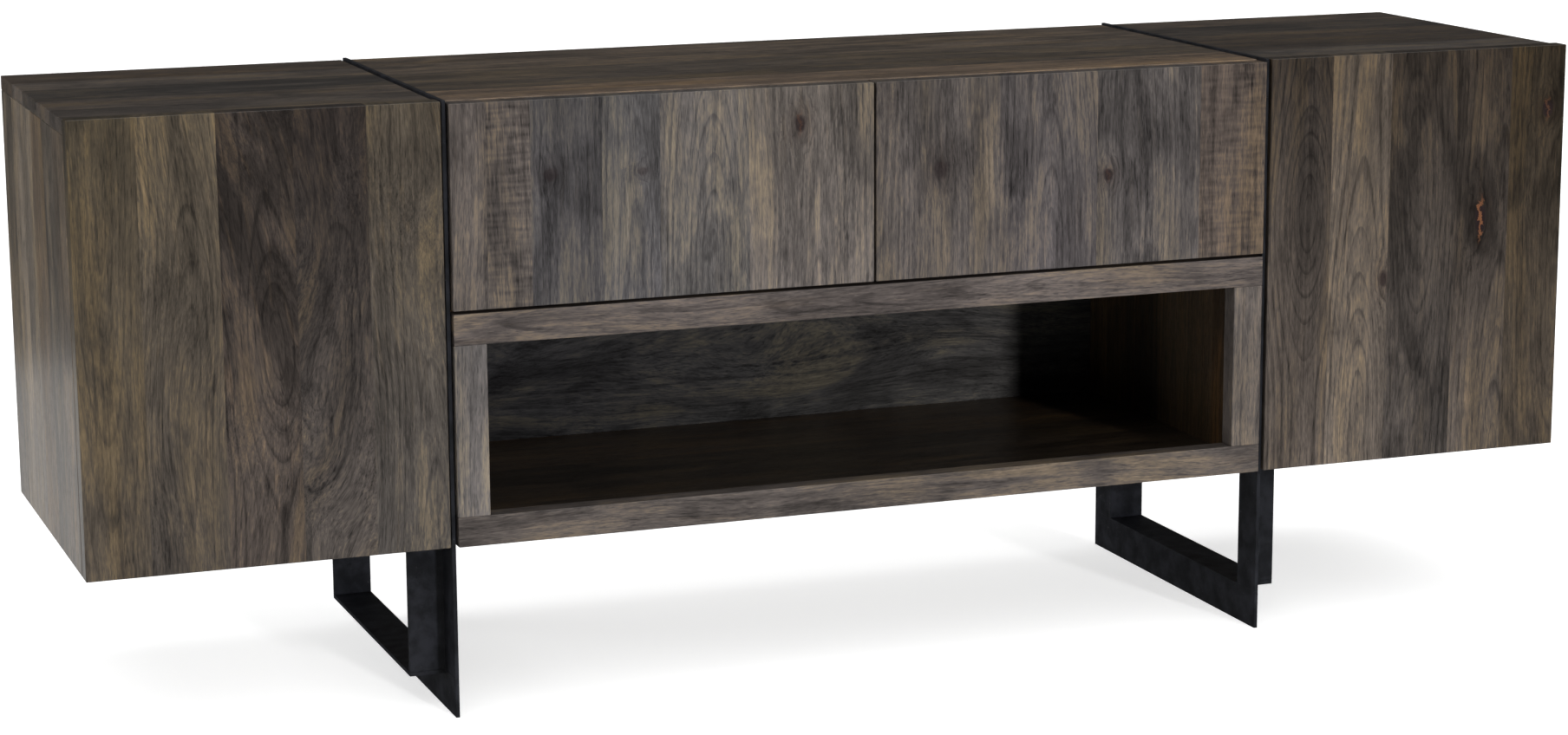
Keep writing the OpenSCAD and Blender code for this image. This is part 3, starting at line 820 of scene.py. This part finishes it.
FLOOR_GLOW = 0.6
FLOOR_REACH = 90.0
WORLD_GLOW = 0.04
CARD_AT = (-1.65, 1.0, 0.015)
CARD_SIZE = (1.2, 2.2)
CARD_POWER = 5.4
LENS_MM = 81.43
SENSOR_MM = 36.0
CAMERA_AT = (-1.6331, -4.2719, 1.2785)
YAW, PITCH, ROLL = 20.577, 11.481, -0.318


def direction(azimuth, elevation):
    """Towards that azimuth from -Y, turning to +X, and that height above level."""
    a, e = math.radians(azimuth), math.radians(elevation)
    return Vector((math.sin(a) * math.cos(e), -math.cos(a) * math.cos(e), math.sin(e)))


def sun(name, azimuth, elevation, strength, spread):
    """A white sun. spread is its width in degrees, and more of it softens the shadows."""
    light = bpy.data.lights.new(name, "SUN")
    light.energy = strength
    light.angle = math.radians(spread)
    lamp = bpy.data.objects.new(name, light)
    bpy.context.scene.collection.objects.link(lamp)
    lamp.rotation_euler = direction(azimuth, elevation).to_track_quat("Z", "Y").to_euler()
    return lamp


def floor_card():
    """A soft light the shape of a card on the floor, facing up, seen only by what it lights."""
    light = bpy.data.lights.new("floor_card", "AREA")
    light.shape = "RECTANGLE"
    light.size, light.size_y = CARD_SIZE
    light.energy = CARD_POWER
    lamp = bpy.data.objects.new("floor_card", light)
    bpy.context.scene.collection.objects.link(lamp)
    lamp.location = CARD_AT
    lamp.rotation_euler = Vector((0, 0, -1)).to_track_quat("Z", "Y").to_euler()
    lamp.visible_camera = False


def build_floor():
    bm = bmesh.new()
    bmesh.ops.create_grid(bm, x_segments=12, y_segments=12, size=FLOOR_REACH)
    mesh = bpy.data.meshes.new("studio_floor")
    bm.to_mesh(mesh)
    bm.free()
    mesh.materials.append(pale_floor())
    floor = bpy.data.objects.new("studio_floor", mesh)
    bpy.context.scene.collection.objects.link(floor)
    floor.visible_glossy = False


def build_world(glow):
    """An even, faint white glow from every side."""
    world = bpy.data.worlds.new("studio")
    bpy.context.scene.world = world
    world.use_nodes = True
    world.node_tree.nodes["Background"].inputs["Color"].default_value = (1, 1, 1, 1)
    world.node_tree.nodes["Background"].inputs["Strength"].default_value = glow


def build_camera():
    """The camera of the reference view: where it stands, which way it looks, and how it tilts."""
    camera = bpy.data.cameras.new("camera")
    camera.lens = LENS_MM
    camera.sensor_width = SENSOR_MM
    camera.sensor_fit = "HORIZONTAL"
    camera.clip_end = 400
    yaw, pitch, roll = (math.radians(a) for a in (YAW, PITCH, ROLL))
    level = math.cos(pitch)
    ahead = Vector((math.sin(yaw) * level, math.cos(yaw) * level, -math.sin(pitch)))
    right = Vector((math.cos(yaw), -math.sin(yaw), 0))
    up = right.cross(ahead)
    turned_right = right * math.cos(roll) + up * math.sin(roll)
    turned_up = up * math.cos(roll) - right * math.sin(roll)
    turn = Matrix((turned_right, turned_up, -ahead)).transposed().to_4x4()
    holder = bpy.data.objects.new("camera", camera)
    bpy.context.scene.collection.objects.link(holder)
    holder.matrix_world = Matrix.Translation(CAMERA_AT) @ turn
    bpy.context.scene.camera = holder


build_wood(
    stained_wood("stained_wood", roughness=0.5, gloss=0.25),
    stained_wood("stained_frame_wood", roughness=0.5, gloss=0.25),
    stained_wood("plywood", roughness=0.6, gloss=0.3),
    stained_wood("drawer_box_wood", roughness=0.55, gloss=0.35),
)
finish_hardware(black_steel(), zinc_steel(), latch_plastic())
build_floor()
build_world(WORLD_GLOW)
sun("overhead", azimuth=10, elevation=68, strength=1.9, spread=80)
key = sun("key", azimuth=12, elevation=7, strength=2.6, spread=4)
fill = sun("fill", azimuth=-98, elevation=12, strength=2.45, spread=50)
rear = sun("rear", azimuth=196, elevation=8, strength=1.2, spread=30)
for low_sun in (key, fill, rear):
    low_sun.visible_glossy = False
floor_card()
build_camera()
bpy.context.scene.view_settings.view_transform = "Standard"
